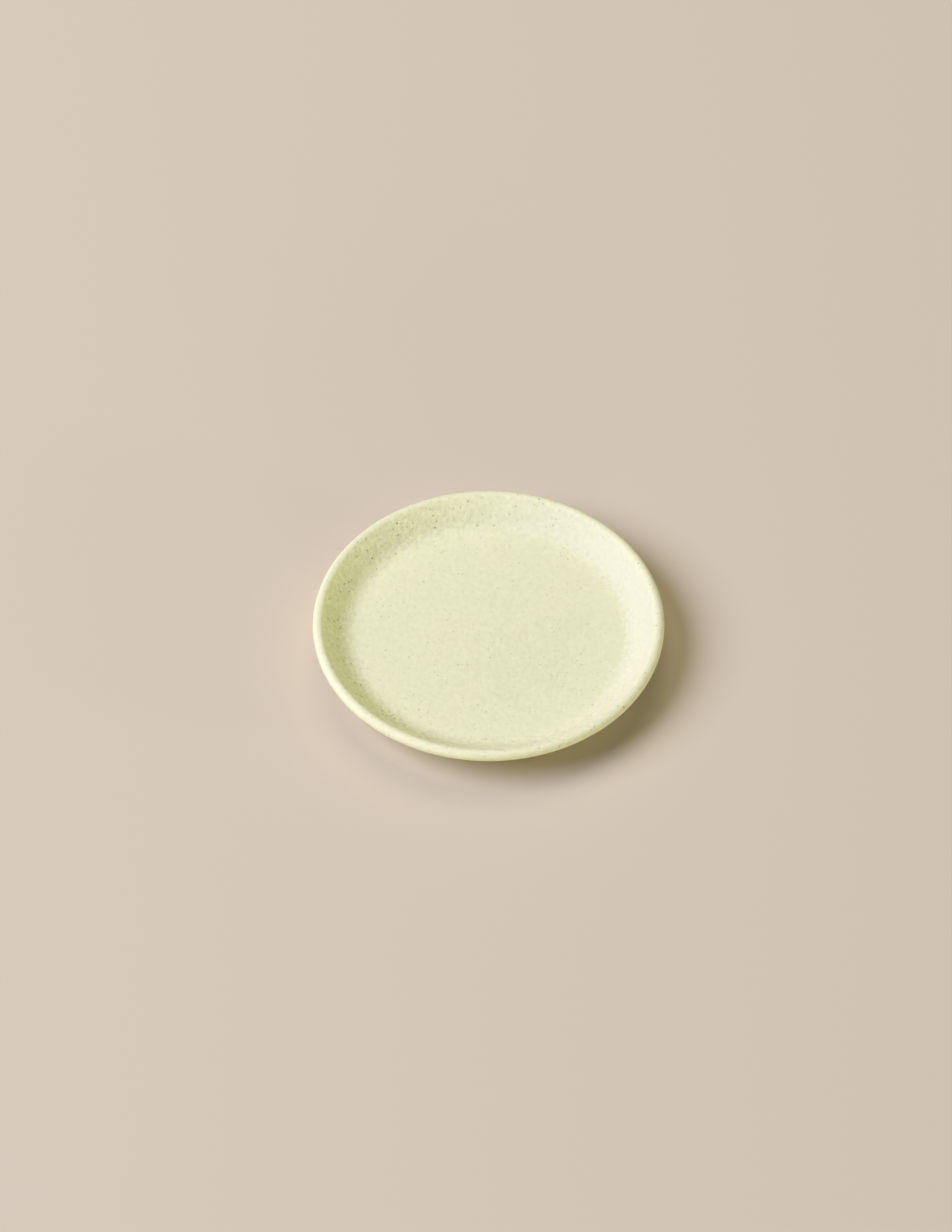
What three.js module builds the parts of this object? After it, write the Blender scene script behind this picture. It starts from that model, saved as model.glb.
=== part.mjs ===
// Round, shallow stoneware dish for pins, needles, buttons and other small sewing notions.
// Millimetres, +Z up. The origin is the centre of the foot ring's resting face.
//
// The dish is a turned clay body under a fired coat of glaze. Every surface is a line or a tangent arc
// turned round the Z axis, so a point of a profile is its distance from the axis and its height.
// The foot ring is left bare, so that the dish doesn't stick to the kiln shelf. It parts the glaze
// into the coat that shows from above and a patch inside the ring.

import * as THREE from 'three';

// Sizes of the glazed dish
const RIM_DIAMETER = 110;
const WELL_DEPTH = 7.1; // from the crest of the lip down to the flat floor
const FLOOR_THICKNESS = 4.6;
const WALL_THICKNESS = 3.6; // the lip is rounded to half of it
const WALL_SLOPE = 42; // degrees above the horizontal, inside and outside
const COVE_RADIUS = 7.75; // where the floor turns up into the wall

// Sizes of the foot
const FOOT_HEIGHT = 2.8; // from the table up to the recess's ceiling and to the outside of the wall
const FOOT_WIDTH = 3.6; // the clay ring, from side to side
const FOOT_EDGE_RADIUS = 0.6; // both edges of the resting face, softened with a sponge
const OUTER_FILLET_RADIUS = 1.5; // under the wall, where it meets the foot ring
const RECESS_FILLET_RADIUS = 0.9; // inside the ring, under the floor

// Sizes of the glaze
const GLAZE_THICKNESS = 0.4;
const GLAZE_RUN = 1.4; // how far the glaze comes down the ring's sides from the top of the foot
const SEAT_CLEARANCE = 0.05; // between the clay and the glaze on it

// Facets
const TURN_STEPS = 72; // round the axis
const COVE_STEPS = 5;
const CREST_STEPS = 2; // over the lip: up to its crest, out to its widest place, and on under it
const WIDEST_STEPS = 5;
const UNDERSIDE_STEPS = 3;
const OUTER_FILLET_STEPS = 4;
const RECESS_FILLET_STEPS = 3;
const FOOT_EDGE_STEPS = 2;

// Places that follow from the sizes, on the glazed surface
const slope = THREE.MathUtils.degToRad(WALL_SLOPE);
const floorHeight = FOOT_HEIGHT + FLOOR_THICKNESS;
const height = floorHeight + WELL_DEPTH;
const lipRadius = WALL_THICKNESS / 2;
const lipCentre = new THREE.Vector2(RIM_DIAMETER / 2 - lipRadius, height - lipRadius);
const outOfWall = new THREE.Vector2(Math.sin(slope), -Math.cos(slope)); // square to the wall's outside
const glazeLine = FOOT_HEIGHT - GLAZE_RUN;
const clayInset = GLAZE_THICKNESS + SEAT_CLEARANCE; // the clay's surface lies this far inside

// Inside the well, the cove's upper end meets the straight wall that rises to the lip.
const wallTop = lipCentre.clone().addScaledVector(outOfWall, -lipRadius);
const coveRise = COVE_RADIUS * (1 - Math.cos(slope));
const wallRun = (wallTop.y - floorHeight - coveRise) / Math.tan(slope);
const floorRadius = wallTop.x - wallRun - COVE_RADIUS * Math.sin(slope);
const coveCentre = new THREE.Vector2(floorRadius, floorHeight + COVE_RADIUS);

// Outside, the foot ring starts where the wall's underside comes down to the height of the foot.
const wallUnderside = lipCentre.clone().addScaledVector(outOfWall, lipRadius);
const footRadius = wallUnderside.x - (wallUnderside.y - FOOT_HEIGHT) / Math.tan(slope);
const outerFilletCentre = new THREE.Vector2(
  footRadius + OUTER_FILLET_RADIUS,
  FOOT_HEIGHT - (OUTER_FILLET_RADIUS * (1 - Math.sin(slope))) / Math.cos(slope),
);

// The ring's bare clay, and the glazed recess inside it
const ringOuterRadius = footRadius - clayInset;
const ringInnerRadius = ringOuterRadius - FOOT_WIDTH;
const recessRadius = ringInnerRadius - clayInset;
const recessFilletCentre = new THREE.Vector2(
  recessRadius - RECESS_FILLET_RADIUS,
  FOOT_HEIGHT - RECESS_FILLET_RADIUS,
);

// Points of a profile from one angle of an arc to another, both in degrees from the outward direction.
function arc(centre, radius, from, to, steps) {
  return Array.from({ length: steps + 1 }, (_, step) => {
    const angle = THREE.MathUtils.degToRad(THREE.MathUtils.lerp(from, to, step / steps));
    return new THREE.Vector2(centre.x + radius * Math.cos(angle), centre.y + radius * Math.sin(angle));
  });
}

// The rounded lip, from the top of the well's wall to the outside. Its crest and its widest place have
// points of their own, so that the facets keep the dish's full height and diameter.
function lipProfile(radius) {
  const toCrest = arc(lipCentre, radius, 90 + WALL_SLOPE, 90, CREST_STEPS);
  const toWidest = arc(lipCentre, radius, 90, 0, WIDEST_STEPS);
  const toUnderside = arc(lipCentre, radius, 0, WALL_SLOPE - 90, UNDERSIDE_STEPS);
  return [...toCrest, ...toWidest.slice(1), ...toUnderside.slice(1)];
}

// The dish from the middle of the well, over the lip, down to the foot ring's outer side. An inset
// moves it into the dish, and all insets give parallel profiles: a hollow bend grows, a round one
// shrinks.
function upperProfile(inset) {
  return [
    new THREE.Vector2(0, floorHeight - inset),
    ...arc(coveCentre, COVE_RADIUS + inset, -90, WALL_SLOPE - 90, COVE_STEPS),
    ...lipProfile(lipRadius - inset),
    ...arc(outerFilletCentre, OUTER_FILLET_RADIUS + inset, 90 + WALL_SLOPE, 180, OUTER_FILLET_STEPS),
  ];
}

// The recess from the middle of its ceiling out to the foot ring's inner side, at an inset.
function recessProfile(inset) {
  return [
    new THREE.Vector2(0, FOOT_HEIGHT + inset),
    ...arc(recessFilletCentre, RECESS_FILLET_RADIUS + inset, 90, 0, RECESS_FILLET_STEPS),
  ];
}

// The foot ring's resting face between its two softened edges, from the outer side to the inner.
function footProfile() {
  const outerEdge = new THREE.Vector2(ringOuterRadius - FOOT_EDGE_RADIUS, FOOT_EDGE_RADIUS);
  const innerEdge = new THREE.Vector2(ringInnerRadius + FOOT_EDGE_RADIUS, FOOT_EDGE_RADIUS);
  return [
    ...arc(outerEdge, FOOT_EDGE_RADIUS, 0, -90, FOOT_EDGE_STEPS),
    ...arc(innerEdge, FOOT_EDGE_RADIUS, -90, -180, FOOT_EDGE_STEPS),
  ];
}

// A coat of glaze between a profile's surface and the clay under it, cut off level at the glaze line.
function coatProfile(profile) {
  const toGlazeLine = (inset) => {
    const points = profile(inset);
    return [...points, new THREE.Vector2(points.at(-1).x, glazeLine)];
  };
  return [...toGlazeLine(0), ...toGlazeLine(GLAZE_THICKNESS).reverse()];
}

// A solid turned from a profile that goes clockwise, seen with the axis on its left.
function turned(name, profile, material) {
  const geometry = new THREE.LatheGeometry(profile.toReversed(), TURN_STEPS);
  geometry.rotateX(Math.PI / 2);
  const mesh = new THREE.Mesh(geometry, material);
  mesh.name = name;
  return mesh;
}

const stoneware = new THREE.MeshStandardMaterial({ color: 0xb79f80, roughness: 0.9, metalness: 0 });
const paleGreenGlaze = new THREE.MeshStandardMaterial({ color: 0xe3e3c3, roughness: 0.5, metalness: 0 });

const clayProfile = [...upperProfile(clayInset), ...footProfile(), ...recessProfile(clayInset).reverse()];

const dish = new THREE.Group();
dish.add(
  turned('clay_body', clayProfile, stoneware),
  turned('glaze_coat', coatProfile(upperProfile), paleGreenGlaze),
  turned('foot_recess_glaze', coatProfile(recessProfile).reverse(), paleGreenGlaze),
);

export default dish;
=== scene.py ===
"""A shallow dish of speckled stoneware with a pale celery green glaze, for pins, buttons and other notions.

The ideal turned shape is made as three pieces, the clay body, the coat of glaze and the patch of glaze
inside the foot ring. Each is then moved a little out of true, as a thrown and dipped dish is.
"""

import math

import bpy
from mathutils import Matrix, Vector, noise


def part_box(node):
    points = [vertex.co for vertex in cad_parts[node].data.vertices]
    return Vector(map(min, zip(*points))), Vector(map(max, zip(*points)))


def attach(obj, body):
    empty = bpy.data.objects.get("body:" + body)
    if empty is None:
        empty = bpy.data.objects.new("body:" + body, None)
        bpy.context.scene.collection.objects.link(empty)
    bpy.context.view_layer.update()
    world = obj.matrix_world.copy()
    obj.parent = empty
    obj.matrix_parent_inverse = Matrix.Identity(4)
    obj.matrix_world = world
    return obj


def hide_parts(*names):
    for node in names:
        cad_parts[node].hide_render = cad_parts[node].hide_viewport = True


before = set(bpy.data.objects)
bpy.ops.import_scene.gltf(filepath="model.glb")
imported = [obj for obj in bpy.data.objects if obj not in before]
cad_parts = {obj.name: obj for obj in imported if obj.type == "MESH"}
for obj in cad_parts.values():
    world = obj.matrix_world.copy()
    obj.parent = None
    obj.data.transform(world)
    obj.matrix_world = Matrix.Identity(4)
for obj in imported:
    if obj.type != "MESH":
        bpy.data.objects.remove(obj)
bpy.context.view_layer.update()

MM = 0.001

# Sizes of the dish in millimetres. The outermost ones come from the frame.
RIM_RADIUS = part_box("glaze_coat")[1].x / MM
CREST_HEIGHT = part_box("glaze_coat")[1].z / MM
WELL_DEPTH = 7.1
WALL_THICKNESS = 3.6
WALL_SLOPE = math.radians(42)
COVE_RADIUS = 7.75
FOOT_HEIGHT = 2.8
FOOT_WIDTH = 3.6
FOOT_EDGE_RADIUS = 0.6
OUTER_FILLET_RADIUS = 1.5
RECESS_FILLET_RADIUS = 0.9
GLAZE_THICKNESS = 0.45
GLAZE_LINE = 1.4
CLAY_INSET = 0.43  # from the glaze's face to the clay's, less than the glaze's thickness, so no gap shows

# How far the hand and the kiln leave the dish out of true, in millimetres
OUT_OF_ROUND = 0.1
LONGEST_WAY = math.radians(33)  # the photograph's dish is a little longer this way, counted from +X
LIP_WAVE = 0.04
SOFT_UNEVENNESS = 0.06
UNEVENNESS_WAVELENGTH = 11.0
UNEVENNESS_SEED = 4  # without one, the noise takes its seed from the clock
SLACK = OUT_OF_ROUND + LIP_WAVE + SOFT_UNEVENNESS  # keeps all of that inside the frame's box
GLAZE_LINE_WAVE = 0.35  # how far the glaze ends above its lowest place on the ring's sides
TRIMMING_RIDGE = 0.035  # the turning tool's marks under the floor
TRIMMING_PITCH = 3.6

# Patterns of the glaze and the clay, in millimetres. Specks are given as (spacing, radius).
CLOUD_SIZE = 14
MOTTLE_SIZE = 1.6
MOTTLE_CONTRAST = 0.4
FINE_SPECKS = (1.5, 0.34)
COARSE_SPECKS = (3.8, 0.48)
DEEP_SPECKS = (1.5, 0.5)  # blurred by the glaze above them
CLAY_SPECKS = (1.2, 0.32)
SPECK_RAGGEDNESS = 1.6  # how far a speck's outline is pulled about, as a share of its radius
IRON_PATCH_SIZE = 9
GLAZE_RELIEF = 0.36  # how high a step of 1 in the glaze's bump is
CLAY_CLOUD_SIZE = 6
GRIT_SIZE = 0.3
TURNING_PITCH = 0.35  # between the fine rings that the turning tool left in the clay
CLAY_RELIEF = 0.04

# Where the glaze lies thin, and where its colour is painted with the window's light and shade, in
# millimetres from the middle of the dish
FAR_SIDE_FROM_WINDOW = 15  # degrees from +X: the side away from the window light, whose wall faces that light
LIT_WALL_FROM, LIT_WALL_TO = -12, 45  # towards that side, where the lit wall is painted a greyer cream
# Also measured towards that side: the wall on the window's side, in its shade, is painted more olive
SHADED_WALL_FROM, SHADED_WALL_TO = -22, -46
COVE_TO_WALL = 6  # from the floor's edge to where the wall's glaze is like the wall's
LIP_FROM, LIP_TO = 2.5, 0.5  # inside and outside the rim's radius
LIP_CREAM = 0.25  # how much creamier the glaze is on the lip
LIP_SPECKS_FROM, LIP_SPECKS_TO = -20, 20  # towards the side away from the window
FEWEST_LIP_SPECKS, MOST_LIP_SPECKS = 0.5, 2.8  # their strength on the lip's lit and shaded side, painted light and shade
THIN_END = 0.9  # how far above its end on the ring the glaze is thin

# Fineness of the meshes
TURN_STEPS = 360
POINT_SPACING = 0.75  # along a straight stretch of a profile, in millimetres
ARC_STEP = math.radians(7.5)

# Stage
FLOOR_HALF_SIZE = 3.0  # metres
BACKDROP_COLOUR = "#D6C9B8"
ROOM_COLOUR, ROOM_STRENGTH = (1.0, 0.97, 0.8, 1.0), 0.11
SOFTBOXES = (  # name, azimuth, elevation, distance, diameter, share of the floor's light, colour
    ("window_side", 192, 44, 4.0, 2.91, 0.838, (0.81, 0.825, 1.0)),
    ("top_fill", 90, 60, 4.0, 2.91, 0.265, (1.0, 0.92, 0.59)),
    ("front_fill", 283, 5, 8.0, 1.26, 0.018, (1.0, 1.0, 0.56)),
    ("right_fill", 345, 5, 8.0, 1.26, 0.018, (1.0, 1.0, 0.72)),
)


# Colours and nodes

def linear(hex_colour):
    """The linear RGBA of an sRGB hex colour."""
    channels = [int(hex_colour[i:i + 2], 16) / 255 for i in (1, 3, 5)]
    return [c / 12.92 if c <= 0.04045 else ((c + 0.055) / 1.055) ** 2.4 for c in channels] + [1.0]


def add(tree, kind, settings=None, **inputs):
    """Adds a node. Inputs are named after its sockets, with _ for a space, and hold values or outputs."""
    made = tree.nodes.new(kind)
    for name, value in (settings or {}).items():
        setattr(made, name, value)
    for name, value in inputs.items():
        socket = made.inputs[int(name[1:])] if name[1:].isdigit() else made.inputs[name.replace("_", " ")]
        if isinstance(value, bpy.types.NodeSocket):
            tree.links.new(value, socket)
        else:
            socket.default_value = value
    return made


def new_material(name):
    material = bpy.data.materials.new(name)
    material.use_nodes = True
    material.node_tree.nodes.clear()
    return material, material.node_tree


WAVE_SCALE = math.tau / 20  # turns waves per metre into the Wave Texture's own scale


def per_metre(millimetres):
    """The scale of a pattern whose cells or waves are that many millimetres apart."""
    return 1 / (millimetres * MM)


def direction(azimuth, elevation):
    """The way to a place round the dish: azimuth from +X towards +Y and elevation, in degrees."""
    a, e = math.radians(azimuth), math.radians(elevation)
    return Vector((math.cos(a) * math.cos(e), math.sin(a) * math.cos(e), math.sin(e)))


def specks(tree, place, size):
    """Ragged specks all through the body. size is (spacing, radius) in millimetres.

    The value is 0 between them. Inside it rises to a height that differs by chance, at most 1. Most specks
    stay faint and a few come out strong.
    """
    spacing, radius = size
    warp = add(tree, "ShaderNodeTexNoise", Vector=place, Scale=per_metre(radius * 2), Detail=1.0)
    ragged = add(tree, "ShaderNodeVectorMath", {"operation": "MULTIPLY_ADD"},
                 _0=warp.outputs["Color"], _1=[radius * SPECK_RAGGEDNESS * MM] * 3, _2=place)
    cells = add(tree, "ShaderNodeTexVoronoi", {"feature": "F1"},
                Vector=ragged.outputs[0], Scale=per_metre(spacing), Randomness=1.0)
    reach = radius / spacing
    inside = add(tree, "ShaderNodeMapRange", {"interpolation_type": "SMOOTHSTEP"},
                 Value=cells.outputs["Distance"],
                 From_Min=reach * 0.4, From_Max=reach, To_Min=1.0, To_Max=0.0)
    chance = add(tree, "ShaderNodeMapRange", {"interpolation_type": "SMOOTHSTEP"},
                 Value=cells.outputs["Color"], From_Min=0.35, From_Max=0.9, To_Min=0.15, To_Max=1.0)
    value = add(tree, "ShaderNodeMath", {"operation": "MULTIPLY"},
                _0=inside.outputs[0], _1=chance.outputs[0])
    return value.outputs[0]


def speckled_celery_glaze():
    """Satin-matt celadon glaze, dipped and fired on iron-speckled stoneware.

    It gives the eye a soft, chalky pale green that is even from afar. Up close it is faintly mottled, and
    iron from the clay shows as fine specks, each in a small pit that a low light brings out. Where the
    glaze ends on the foot ring it thins, and the toasted clay warms it.
    """
    material, tree = new_material("speckled_celery_glaze")
    place = add(tree, "ShaderNodeTexCoord").outputs["Object"]

    # Clouds in the glaze, from uneven thickness
    clouds = add(tree, "ShaderNodeTexNoise", Vector=place, Scale=per_metre(CLOUD_SIZE),
                 Detail=4.0, Roughness=0.55)
    body = add(tree, "ShaderNodeMix", {"data_type": "RGBA"}, Factor=clouds.outputs["Fac"],
               _6=linear("#E9E8C5"), _7=linear("#E3E5C0"))

    # Painted light and shade: the wall that faces the window light is painted a greyer cream, and the
    # wall on the window's side, in its shade, is painted more olive.
    from_middle = add(tree, "ShaderNodeVectorMath", {"operation": "LENGTH"}, _0=place).outputs["Value"]
    up_wall = add(tree, "ShaderNodeMapRange", {"interpolation_type": "SMOOTHSTEP"}, Value=from_middle,
                  From_Min=COVE_CENTRE[0] * MM, From_Max=(COVE_CENTRE[0] + COVE_TO_WALL) * MM)
    over_lip = add(tree, "ShaderNodeMapRange", {"interpolation_type": "SMOOTHSTEP"}, Value=from_middle,
                   From_Min=(RIM_RADIUS - LIP_FROM) * MM, From_Max=(RIM_RADIUS + LIP_TO) * MM)
    in_wall = add(tree, "ShaderNodeMath", {"operation": "SUBTRACT"},
                  _0=up_wall.outputs[0], _1=over_lip.outputs[0])
    away_from_window = add(tree, "ShaderNodeVectorMath", {"operation": "DOT_PRODUCT"}, _0=place,
                   _1=direction(FAR_SIDE_FROM_WINDOW, 0)).outputs["Value"]
    lit_wall_ramp = add(tree, "ShaderNodeMapRange", Value=away_from_window,
                From_Min=LIT_WALL_FROM * MM, From_Max=LIT_WALL_TO * MM)
    shaded_wall_ramp = add(tree, "ShaderNodeMapRange", Value=away_from_window, From_Min=SHADED_WALL_FROM * MM, From_Max=SHADED_WALL_TO * MM)
    painted_lit_wall = add(tree, "ShaderNodeMath", {"operation": "MULTIPLY"},
                     _0=lit_wall_ramp.outputs[0], _1=in_wall.outputs[0])
    painted_shaded_wall = add(tree, "ShaderNodeMath", {"operation": "MULTIPLY"},
                    _0=shaded_wall_ramp.outputs[0], _1=in_wall.outputs[0])
    painted_light_cream = add(tree, "ShaderNodeMix", {"data_type": "RGBA"}, Factor=painted_lit_wall.outputs[0],
                 _6=body.outputs[2], _7=linear("#E1DFC4"))
    painted_shade_olive = add(tree, "ShaderNodeMix", {"data_type": "RGBA"}, Factor=painted_shaded_wall.outputs[0],
                _6=painted_light_cream.outputs[2], _7=linear("#E9EAB8"))

    # It is creamier where it thins over the lip, and toasted clay warms its thin end on the foot.
    lip_cream = add(tree, "ShaderNodeMath", {"operation": "MULTIPLY"},
                    _0=over_lip.outputs[0], _1=LIP_CREAM)
    creamy = add(tree, "ShaderNodeMix", {"data_type": "RGBA"}, Factor=lip_cream.outputs[0],
                 _6=painted_shade_olive.outputs[2], _7=linear("#F6EFD0"))
    above_table = add(tree, "ShaderNodeSeparateXYZ", Vector=place).outputs["Z"]
    thin_end = add(tree, "ShaderNodeMapRange", {"interpolation_type": "SMOOTHSTEP"}, Value=above_table,
                   From_Min=GLAZE_LINE * MM, From_Max=(GLAZE_LINE + THIN_END) * MM, To_Min=0.8, To_Max=0.0)
    warmed = add(tree, "ShaderNodeMix", {"data_type": "RGBA"}, Factor=thin_end.outputs[0],
                 _6=creamy.outputs[2], _7=linear("#C7AE7C"))

    # The floor's glaze veils the mottle and the specks. On the wall that faces the window light they are
    # faded too, a painted highlight. On the lip it has melted smooth, and its specks are painted faint on
    # its lit side and strong on its shaded side. The clay has its iron in patches.
    baring = add(tree, "ShaderNodeMapRange", Value=in_wall.outputs[0], To_Min=0.4, To_Max=1.3)
    lit_wall_fading = add(tree, "ShaderNodeMapRange", Value=painted_lit_wall.outputs[0], To_Min=1.0, To_Max=0.2)
    thinness_and_light_fade = add(tree, "ShaderNodeMath", {"operation": "MULTIPLY"},
                   _0=baring.outputs[0], _1=lit_wall_fading.outputs[0]).outputs[0]
    patches = add(tree, "ShaderNodeTexNoise", Vector=place, Scale=per_metre(IRON_PATCH_SIZE), Detail=1.0)
    in_patches = add(tree, "ShaderNodeMapRange", Value=patches.outputs["Fac"],
                     From_Min=0.35, From_Max=0.65, To_Min=0.3, To_Max=1.0)
    # Painted light on the lip: its specks are faded on the side that the window lights and strong on the
    # side in shade.
    lip_specks_by_light = add(tree, "ShaderNodeMapRange", Value=away_from_window,
                    From_Min=LIP_SPECKS_FROM * MM, From_Max=LIP_SPECKS_TO * MM,
                    To_Min=FEWEST_LIP_SPECKS, To_Max=MOST_LIP_SPECKS)
    on_lip = add(tree, "ShaderNodeMapRange", Value=over_lip.outputs[0],
                 To_Min=1.0, To_Max=lip_specks_by_light.outputs[0])
    by_place = add(tree, "ShaderNodeMath", {"operation": "MULTIPLY"},
                   _0=in_patches.outputs[0], _1=on_lip.outputs[0])
    showing = add(tree, "ShaderNodeMath", {"operation": "MULTIPLY"},
                  _0=thinness_and_light_fade, _1=by_place.outputs[0]).outputs[0]

    # A mottle that is softer where the glaze is thick and on the wall that faces the window light, where
    # the softening is a painted highlight, and faint specks that lie deep in the glaze
    grain = add(tree, "ShaderNodeMapRange", Value=thinness_and_light_fade,
                From_Min=0.5, From_Max=1.3, To_Min=0.4, To_Max=0.65)
    mottle = add(tree, "ShaderNodeTexNoise", Vector=place, Scale=per_metre(MOTTLE_SIZE), Detail=3.0,
                 Roughness=grain.outputs[0]).outputs["Fac"]
    deep = specks(tree, place, DEEP_SPECKS)
    uneven = add(tree, "ShaderNodeMath", {"operation": "MULTIPLY_ADD"},
                 _0=mottle, _1=MOTTLE_CONTRAST, _2=-MOTTLE_CONTRAST / 2)
    darkened = add(tree, "ShaderNodeMath", {"operation": "MULTIPLY_ADD"},
                   _0=deep, _1=-0.1, _2=uneven.outputs[0])
    shade = add(tree, "ShaderNodeMath", {"operation": "MULTIPLY_ADD"},
                _0=darkened.outputs[0], _1=thinness_and_light_fade, _2=1.0)
    shaded = add(tree, "ShaderNodeVectorMath", {"operation": "SCALE"},
                 _0=warmed.outputs[2], Scale=shade.outputs[0])

    # Specks that reach the top of the glaze, most of them fine and a few coarse
    fine = specks(tree, place, FINE_SPECKS)
    coarse = specks(tree, place, COARSE_SPECKS)
    either = add(tree, "ShaderNodeMath", {"operation": "MAXIMUM"}, _0=fine, _1=coarse).outputs[0]
    strength = add(tree, "ShaderNodeMath", {"operation": "MULTIPLY"}, _0=either, _1=showing)
    iron = add(tree, "ShaderNodeMix", {"data_type": "RGBA"}, Factor=strength.outputs[0],
               _6=shaded.outputs[0], _7=linear("#8C8636"))

    # The fired surface rolls with the mottle, and the specks are pits in it, a few hundredths of a
    # millimetre deep. It is levelled more where the glaze is thick and on the wall that faces the window
    # light.
    pitted = add(tree, "ShaderNodeMath", {"operation": "MULTIPLY_ADD"},
                 _0=either, _1=-0.12, _2=uneven.outputs[0])
    dimpled = add(tree, "ShaderNodeMath", {"operation": "MULTIPLY_ADD"},
                  _0=deep, _1=-0.08, _2=pitted.outputs[0])
    roughened = add(tree, "ShaderNodeMath", {"operation": "ADD"}, _0=thinness_and_light_fade, _1=0.6)
    relief = add(tree, "ShaderNodeMath", {"operation": "MULTIPLY"},
                 _0=dimpled.outputs[0], _1=roughened.outputs[0])
    bump = add(tree, "ShaderNodeBump", Height=relief.outputs[0], Strength=1.0, Distance=GLAZE_RELIEF * MM)

    # Crystals in the cooled glaze leave it between satin and matt, a little more so in some clouds.
    roughness = add(tree, "ShaderNodeMapRange", Value=clouds.outputs["Fac"],
                    From_Min=0.3, From_Max=0.7, To_Min=0.72, To_Max=0.78)
    shader = add(tree, "ShaderNodeBsdfPrincipled", Base_Color=iron.outputs[2], Normal=bump.outputs[0],
                 Roughness=roughness.outputs[0], IOR=1.5, Metallic=0.0)
    add(tree, "ShaderNodeOutputMaterial", Surface=shader.outputs[0])
    return material


def bare_speckled_stoneware():
    """Buff stoneware, trimmed on the wheel, wiped with a sponge and fired bare.

    It gives the eye a dry, slightly gritty tan with brown iron specks and fine rings from the turning
    tool, and it is toasted to a warmer brown along the edge of the glaze.
    """
    material, tree = new_material("bare_speckled_stoneware")
    place = add(tree, "ShaderNodeTexCoord").outputs["Object"]
    clouds = add(tree, "ShaderNodeTexNoise", Vector=place, Scale=per_metre(CLAY_CLOUD_SIZE), Detail=4.0)
    body = add(tree, "ShaderNodeMix", {"data_type": "RGBA"}, Factor=clouds.outputs["Fac"],
               _6=linear("#C6B091"), _7=linear("#AD9371"))
    above_table = add(tree, "ShaderNodeSeparateXYZ", Vector=place).outputs["Z"]
    toasting = add(tree, "ShaderNodeMapRange", {"interpolation_type": "SMOOTHSTEP"}, Value=above_table,
                   From_Min=0.4 * MM, From_Max=GLAZE_LINE * MM, To_Min=0.0, To_Max=0.75)
    toasted = add(tree, "ShaderNodeMix", {"data_type": "RGBA"}, Factor=toasting.outputs[0],
                  _6=body.outputs[2], _7=linear("#A5764A"))
    iron = add(tree, "ShaderNodeMix", {"data_type": "RGBA"}, Factor=specks(tree, place, CLAY_SPECKS),
               _6=toasted.outputs[2], _7=linear("#4A3626"))

    # Grit, and the turning tool's rings
    grit = add(tree, "ShaderNodeTexNoise", Vector=place, Scale=per_metre(GRIT_SIZE),
               Detail=3.0, Roughness=0.7)
    rings = add(tree, "ShaderNodeTexWave", {"wave_type": "RINGS", "rings_direction": "Z"},
                Vector=place, Scale=per_metre(TURNING_PITCH) * WAVE_SCALE, Distortion=1.5, Detail=2.0)
    relief = add(tree, "ShaderNodeMath", {"operation": "MULTIPLY_ADD"},
                 _0=rings.outputs["Fac"], _1=0.3, _2=grit.outputs["Fac"])
    bump = add(tree, "ShaderNodeBump", Height=relief.outputs[0], Strength=1.0, Distance=CLAY_RELIEF * MM)
    shader = add(tree, "ShaderNodeBsdfPrincipled", Base_Color=iron.outputs[2], Normal=bump.outputs[0],
                 Roughness=0.92, IOR=1.5, Metallic=0.0)
    add(tree, "ShaderNodeOutputMaterial", Surface=shader.outputs[0])
    return material


def plain_floor():
    """Matt pale paper."""
    material, tree = new_material("plain_floor")
    shader = add(tree, "ShaderNodeBsdfDiffuse", Color=linear(BACKDROP_COLOUR), Roughness=0.0)
    add(tree, "ShaderNodeOutputMaterial", Surface=shader.outputs[0])
    return material


# Profiles: points as (distance from the axis, height), in millimetres

def arc(centre, radius, start, end):
    """An arc between two angles in radians, counted from the outward direction."""
    steps = max(2, math.ceil(abs(end - start) / ARC_STEP))
    angles = [start + (end - start) * i / steps for i in range(steps + 1)]
    return [(centre[0] + radius * math.cos(a), centre[1] + radius * math.sin(a)) for a in angles]


def joined(*stretches):
    """One profile from arcs and single points, with points at an even spacing on the straights between."""
    points = []
    for stretch in stretches:
        if points:
            start, end = Vector(points[-1]), Vector(stretch[0])
            steps = max(1, round((end - start).length / POINT_SPACING))
            points += [tuple(start.lerp(end, i / steps)) for i in range(1, steps)]
            if (end - start).length < 1e-6:
                points.pop()
        points += stretch
    return points


SLOPE_COS, SLOPE_SIN = math.cos(WALL_SLOPE), math.sin(WALL_SLOPE)
UNDER_WALL = math.pi / 2 + WALL_SLOPE  # square to the wall, into the dish from its outside
LIP_RADIUS = WALL_THICKNESS / 2
FLOOR_HEIGHT = CREST_HEIGHT - WELL_DEPTH
LIP_CENTRE = (RIM_RADIUS - SLACK - LIP_RADIUS, CREST_HEIGHT - SLACK - LIP_RADIUS)
WALL_TOP = (LIP_CENTRE[0] - LIP_RADIUS * SLOPE_SIN, LIP_CENTRE[1] + LIP_RADIUS * SLOPE_COS)
WALL_RUN = (WALL_TOP[1] - FLOOR_HEIGHT - COVE_RADIUS * (1 - SLOPE_COS)) / math.tan(WALL_SLOPE)
COVE_CENTRE = (WALL_TOP[0] - WALL_RUN - COVE_RADIUS * SLOPE_SIN, FLOOR_HEIGHT + COVE_RADIUS)
WALL_FOOT_DROP = LIP_CENTRE[1] - LIP_RADIUS * SLOPE_COS - FOOT_HEIGHT
FOOT_RADIUS = LIP_CENTRE[0] + LIP_RADIUS * SLOPE_SIN - WALL_FOOT_DROP / math.tan(WALL_SLOPE)
OUTER_FILLET_CENTRE = (FOOT_RADIUS + OUTER_FILLET_RADIUS,
                       FOOT_HEIGHT - OUTER_FILLET_RADIUS * (1 - SLOPE_SIN) / SLOPE_COS)
RING_OUTER = FOOT_RADIUS - CLAY_INSET
RING_INNER = RING_OUTER - FOOT_WIDTH
RECESS_RADIUS = RING_INNER - CLAY_INSET
RECESS_FILLET_CENTRE = (RECESS_RADIUS - RECESS_FILLET_RADIUS, FOOT_HEIGHT - RECESS_FILLET_RADIUS)


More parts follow.
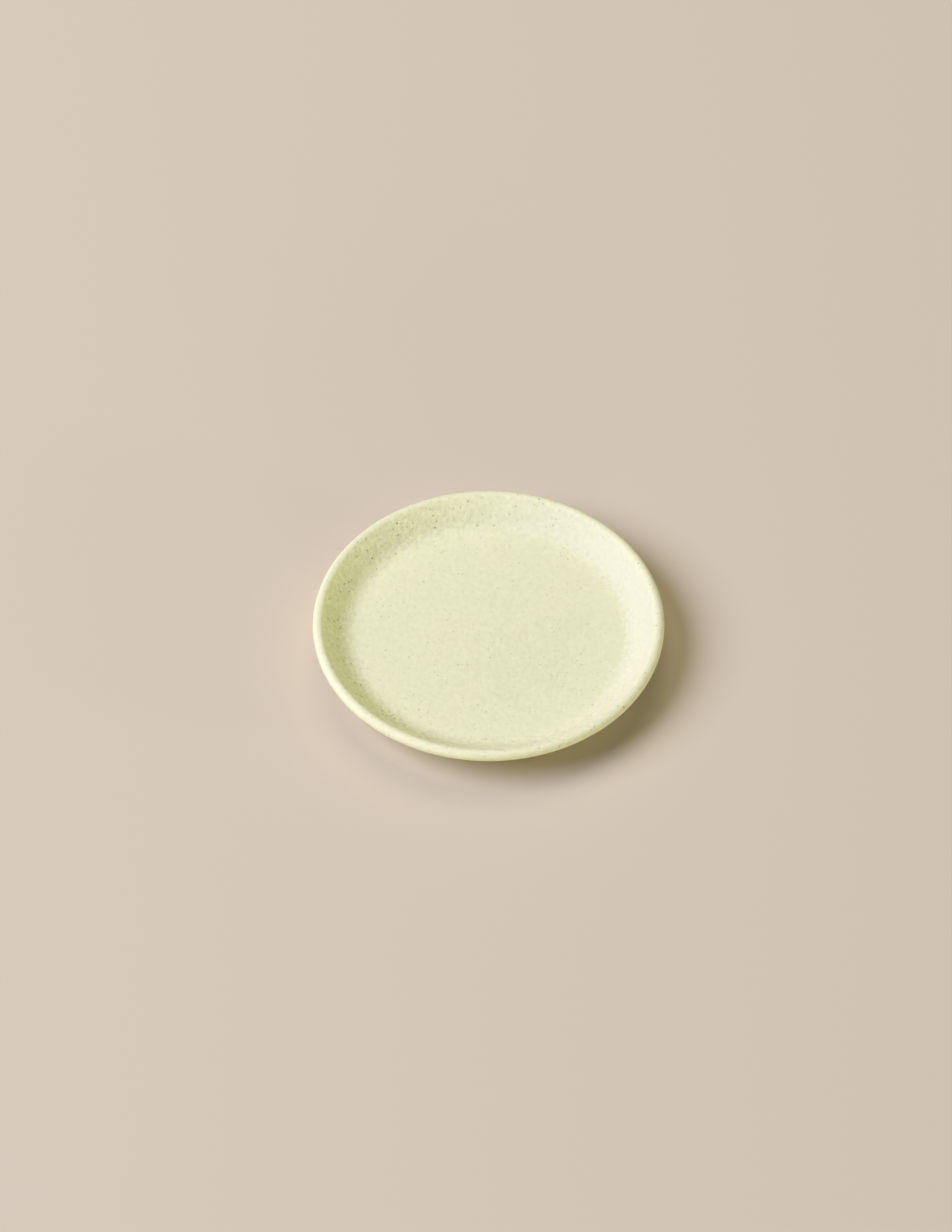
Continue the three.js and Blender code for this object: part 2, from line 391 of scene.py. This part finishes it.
def upper_profile(inset):
    """From the middle of the well, over the lip and down to the foot ring's outer side."""
    return joined(
        [(0, FLOOR_HEIGHT - inset)],
        arc(COVE_CENTRE, COVE_RADIUS + inset, -math.pi / 2, WALL_SLOPE - math.pi / 2),
        arc(LIP_CENTRE, LIP_RADIUS - inset, UNDER_WALL, WALL_SLOPE - math.pi / 2),
        arc(OUTER_FILLET_CENTRE, OUTER_FILLET_RADIUS + inset, UNDER_WALL, math.pi),
    )


def recess_profile(inset):
    """From the middle of the recess's ceiling to the foot ring's inner side."""
    return joined(
        [(0, FOOT_HEIGHT + inset)],
        arc(RECESS_FILLET_CENTRE, RECESS_FILLET_RADIUS + inset, math.pi / 2, 0),
    )


def foot_profile():
    """The bare ring's resting face between its two softened edges."""
    outer = (RING_OUTER - FOOT_EDGE_RADIUS, FOOT_EDGE_RADIUS)
    inner = (RING_INNER + FOOT_EDGE_RADIUS, FOOT_EDGE_RADIUS)
    return joined(
        arc(outer, FOOT_EDGE_RADIUS, 0, -math.pi / 2),
        arc(inner, FOOT_EDGE_RADIUS, -math.pi / 2, -math.pi),
    )


def coat_profile(profile, side):
    """Glaze on a profile down to the glaze line, where it ends in a rounded roll on the clay.

    side is the way that the ring's side faces: 1 away from the axis, -1 towards it.
    """
    outside, inside = profile(0), profile(GLAZE_THICKNESS)
    roll_centre = (inside[-1][0], GLAZE_LINE + GLAZE_THICKNESS)
    start = 0 if side > 0 else math.pi
    roll = arc(roll_centre, GLAZE_THICKNESS, start, -math.pi / 2 if side > 0 else math.pi * 1.5)
    return joined(outside, roll, inside[::-1])


# Meshes

def wave(angle, orders):
    """A smooth wave round the dish, from -1 to 1, made of a few orders."""
    parts = [math.sin(order * angle + order * order) / order for order in orders]
    return sum(parts) / sum(1 / order for order in orders)


def hand_made(point):
    """Moves a point of the ideal shape to where it lies on a thrown dish. The foot stays flat.

    Points near each other move alike, so that the glaze keeps its thickness.
    """
    radius, height = math.hypot(point.x, point.y), point.z
    angle = math.atan2(point.y, point.x)
    upward = min(1, max(0, (height - FOOT_HEIGHT) / (CREST_HEIGHT - FOOT_HEIGHT)))
    outward = (radius / RIM_RADIUS) ** 2 * upward
    grown = 1 + outward * OUT_OF_ROUND * math.cos(2 * (angle - LONGEST_WAY)) / max(radius, 1)
    lifted = outward * LIP_WAVE * wave(angle, (3, 5))

    # The ragged end of the glaze on the ring's sides, and the turning tool's marks under the floor
    near_line = max(0, 1 - abs(height - GLAZE_LINE - 0.2))
    lifted += near_line * GLAZE_LINE_WAVE * (1 + wave(angle, (7, 12, 19, 31))) / 2
    near_ceiling = max(0, 1 - abs(height - FOOT_HEIGHT)) if radius < RECESS_RADIUS else 0
    lifted += near_ceiling * TRIMMING_RIDGE * math.sin(math.tau * radius / TRIMMING_PITCH)

    rolling = noise.noise_vector(point / UNEVENNESS_WAVELENGTH) * SOFT_UNEVENNESS * upward
    return Vector((point.x * grown, point.y * grown, height + lifted)) + rolling


def turned(name, profile, material):
    """A closed mesh turned from a profile that starts and ends on the axis."""
    rings = profile[1:-1]
    vertices = [Vector((0, 0, profile[0][1])), Vector((0, 0, profile[-1][1]))]
    for step in range(TURN_STEPS):
        angle = math.tau * step / TURN_STEPS
        along = Vector((math.cos(angle), math.sin(angle)))
        vertices += [Vector((*(along * radius), height)) for radius, height in rings]
    count = len(rings)
    faces = []
    for step in range(TURN_STEPS):
        here, beside = 2 + step * count, 2 + (step + 1) % TURN_STEPS * count
        faces.append((0, here, beside))
        faces.append((1, beside + count - 1, here + count - 1))
        faces += [(here + i, here + i + 1, beside + i + 1, beside + i) for i in range(count - 1)]
    mesh = bpy.data.meshes.new(name)
    mesh.from_pydata([hand_made(v) * MM for v in vertices], [], faces)
    mesh.validate()
    mesh.shade_smooth()
    mesh.materials.append(material)
    piece = bpy.data.objects.new(name, mesh)
    bpy.context.collection.objects.link(piece)
    return piece


def make_dish():
    noise.seed_set(UNEVENNESS_SEED)
    glaze, clay = speckled_celery_glaze(), bare_speckled_stoneware()
    body_profile = joined(upper_profile(CLAY_INSET), foot_profile(), recess_profile(CLAY_INSET)[::-1])
    body = turned("stoneware_body", body_profile, clay)
    coat = turned("upper_glaze", coat_profile(upper_profile, 1), glaze)
    patch = turned("recess_glaze", coat_profile(recess_profile, -1)[::-1], glaze)
    for piece, node, slot in ((body, "clay_body", "bare_stoneware"),
                              (coat, "glaze_coat", "pale_green_glaze"),
                              (patch, "foot_recess_glaze", "pale_green_glaze")):
        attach(piece, "root")
        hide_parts(node)


# Stage

def make_floor():
    half = FLOOR_HALF_SIZE
    corners = [(-half, -half, 0), (half, -half, 0), (half, half, 0), (-half, half, 0)]
    mesh = bpy.data.meshes.new("floor")
    mesh.from_pydata(corners, [], [(0, 1, 2, 3)])
    mesh.materials.append(plain_floor())
    floor = bpy.data.objects.new("floor", mesh)
    bpy.context.collection.objects.link(floor)


def softbox(name, azimuth, elevation, distance, diameter, share, colour):
    """A round soft lamp that gives the floor that share of the light in which white paper is just white."""
    lamp = bpy.data.lights.new(name, "AREA")
    lamp.shape, lamp.size = "DISK", diameter
    lamp.energy = share * (math.pi * distance) ** 2 / math.sin(math.radians(elevation))
    lamp.color = colour
    light = bpy.data.objects.new(name, lamp)
    light.location = direction(azimuth, elevation) * distance
    light.rotation_euler = (-direction(azimuth, elevation)).to_track_quat("-Z", "Y").to_euler()
    bpy.context.collection.objects.link(light)


def make_light():
    """Cool light from a large window on the left, weak warm fills from above and low in front.

    The room's own light is weak and warm.
    """
    for lamp in SOFTBOXES:
        softbox(*lamp)
    world = bpy.data.worlds.new("studio")
    world.use_nodes = True
    tree = world.node_tree
    tree.nodes.clear()
    path = add(tree, "ShaderNodeLightPath")
    straight = add(tree, "ShaderNodeMath", {"operation": "MAXIMUM"},
                   _0=path.outputs["Is Camera Ray"], _1=path.outputs["Is Glossy Ray"])
    seen = add(tree, "ShaderNodeMath", {"operation": "MAXIMUM"},
               _0=straight.outputs[0], _1=path.outputs["Is Transmission Ray"])
    room = add(tree, "ShaderNodeBackground", Color=ROOM_COLOUR, Strength=ROOM_STRENGTH)
    backdrop = add(tree, "ShaderNodeBackground", Color=linear(BACKDROP_COLOUR), Strength=1.0)
    either = add(tree, "ShaderNodeMixShader",
                 Fac=seen.outputs[0], _1=room.outputs[0], _2=backdrop.outputs[0])
    add(tree, "ShaderNodeOutputWorld", Surface=either.outputs[0])
    bpy.context.scene.world = world


# Camera: the photograph is 952 by 1232 pixels. The sensor's 36 mm are its long side.
PHOTO_WIDTH, PHOTO_HEIGHT = 952, 1232
CAMERA_ELEVATION = 49.47
CAMERA_DISTANCE = 1.746
FOCAL_PIXELS = 5598
LIP_CENTRE_PIXEL = (488.5, 623.0)  # where the axis crosses the plane of the lip's centre line


def make_camera():
    """Looks from the front and above, so that the middle of the lip's ring falls on its pixel."""
    data = bpy.data.cameras.new("camera")
    data.sensor_width = 36
    data.lens = FOCAL_PIXELS * data.sensor_width / PHOTO_HEIGHT
    data.clip_start, data.clip_end = 0.1, 20
    camera = bpy.data.objects.new("camera", data)
    bpy.context.collection.objects.link(camera)
    back = direction(-90, CAMERA_ELEVATION)
    up = direction(90, 90 - CAMERA_ELEVATION)
    metres_per_pixel = CAMERA_DISTANCE / FOCAL_PIXELS
    aside = (LIP_CENTRE_PIXEL[0] - PHOTO_WIDTH / 2) * metres_per_pixel
    above = (LIP_CENTRE_PIXEL[1] - PHOTO_HEIGHT / 2) * metres_per_pixel
    lip_middle = Vector((0, 0, (CREST_HEIGHT - LIP_RADIUS) * MM))
    camera.location = lip_middle + back * CAMERA_DISTANCE + up * above - Vector((aside, 0, 0))
    camera.rotation_euler = (-back).to_track_quat("-Z", "Y").to_euler()
    bpy.context.scene.camera = camera


make_camera()
make_dish()
make_floor()
make_light()
bpy.context.scene.view_settings.view_transform = "Standard"
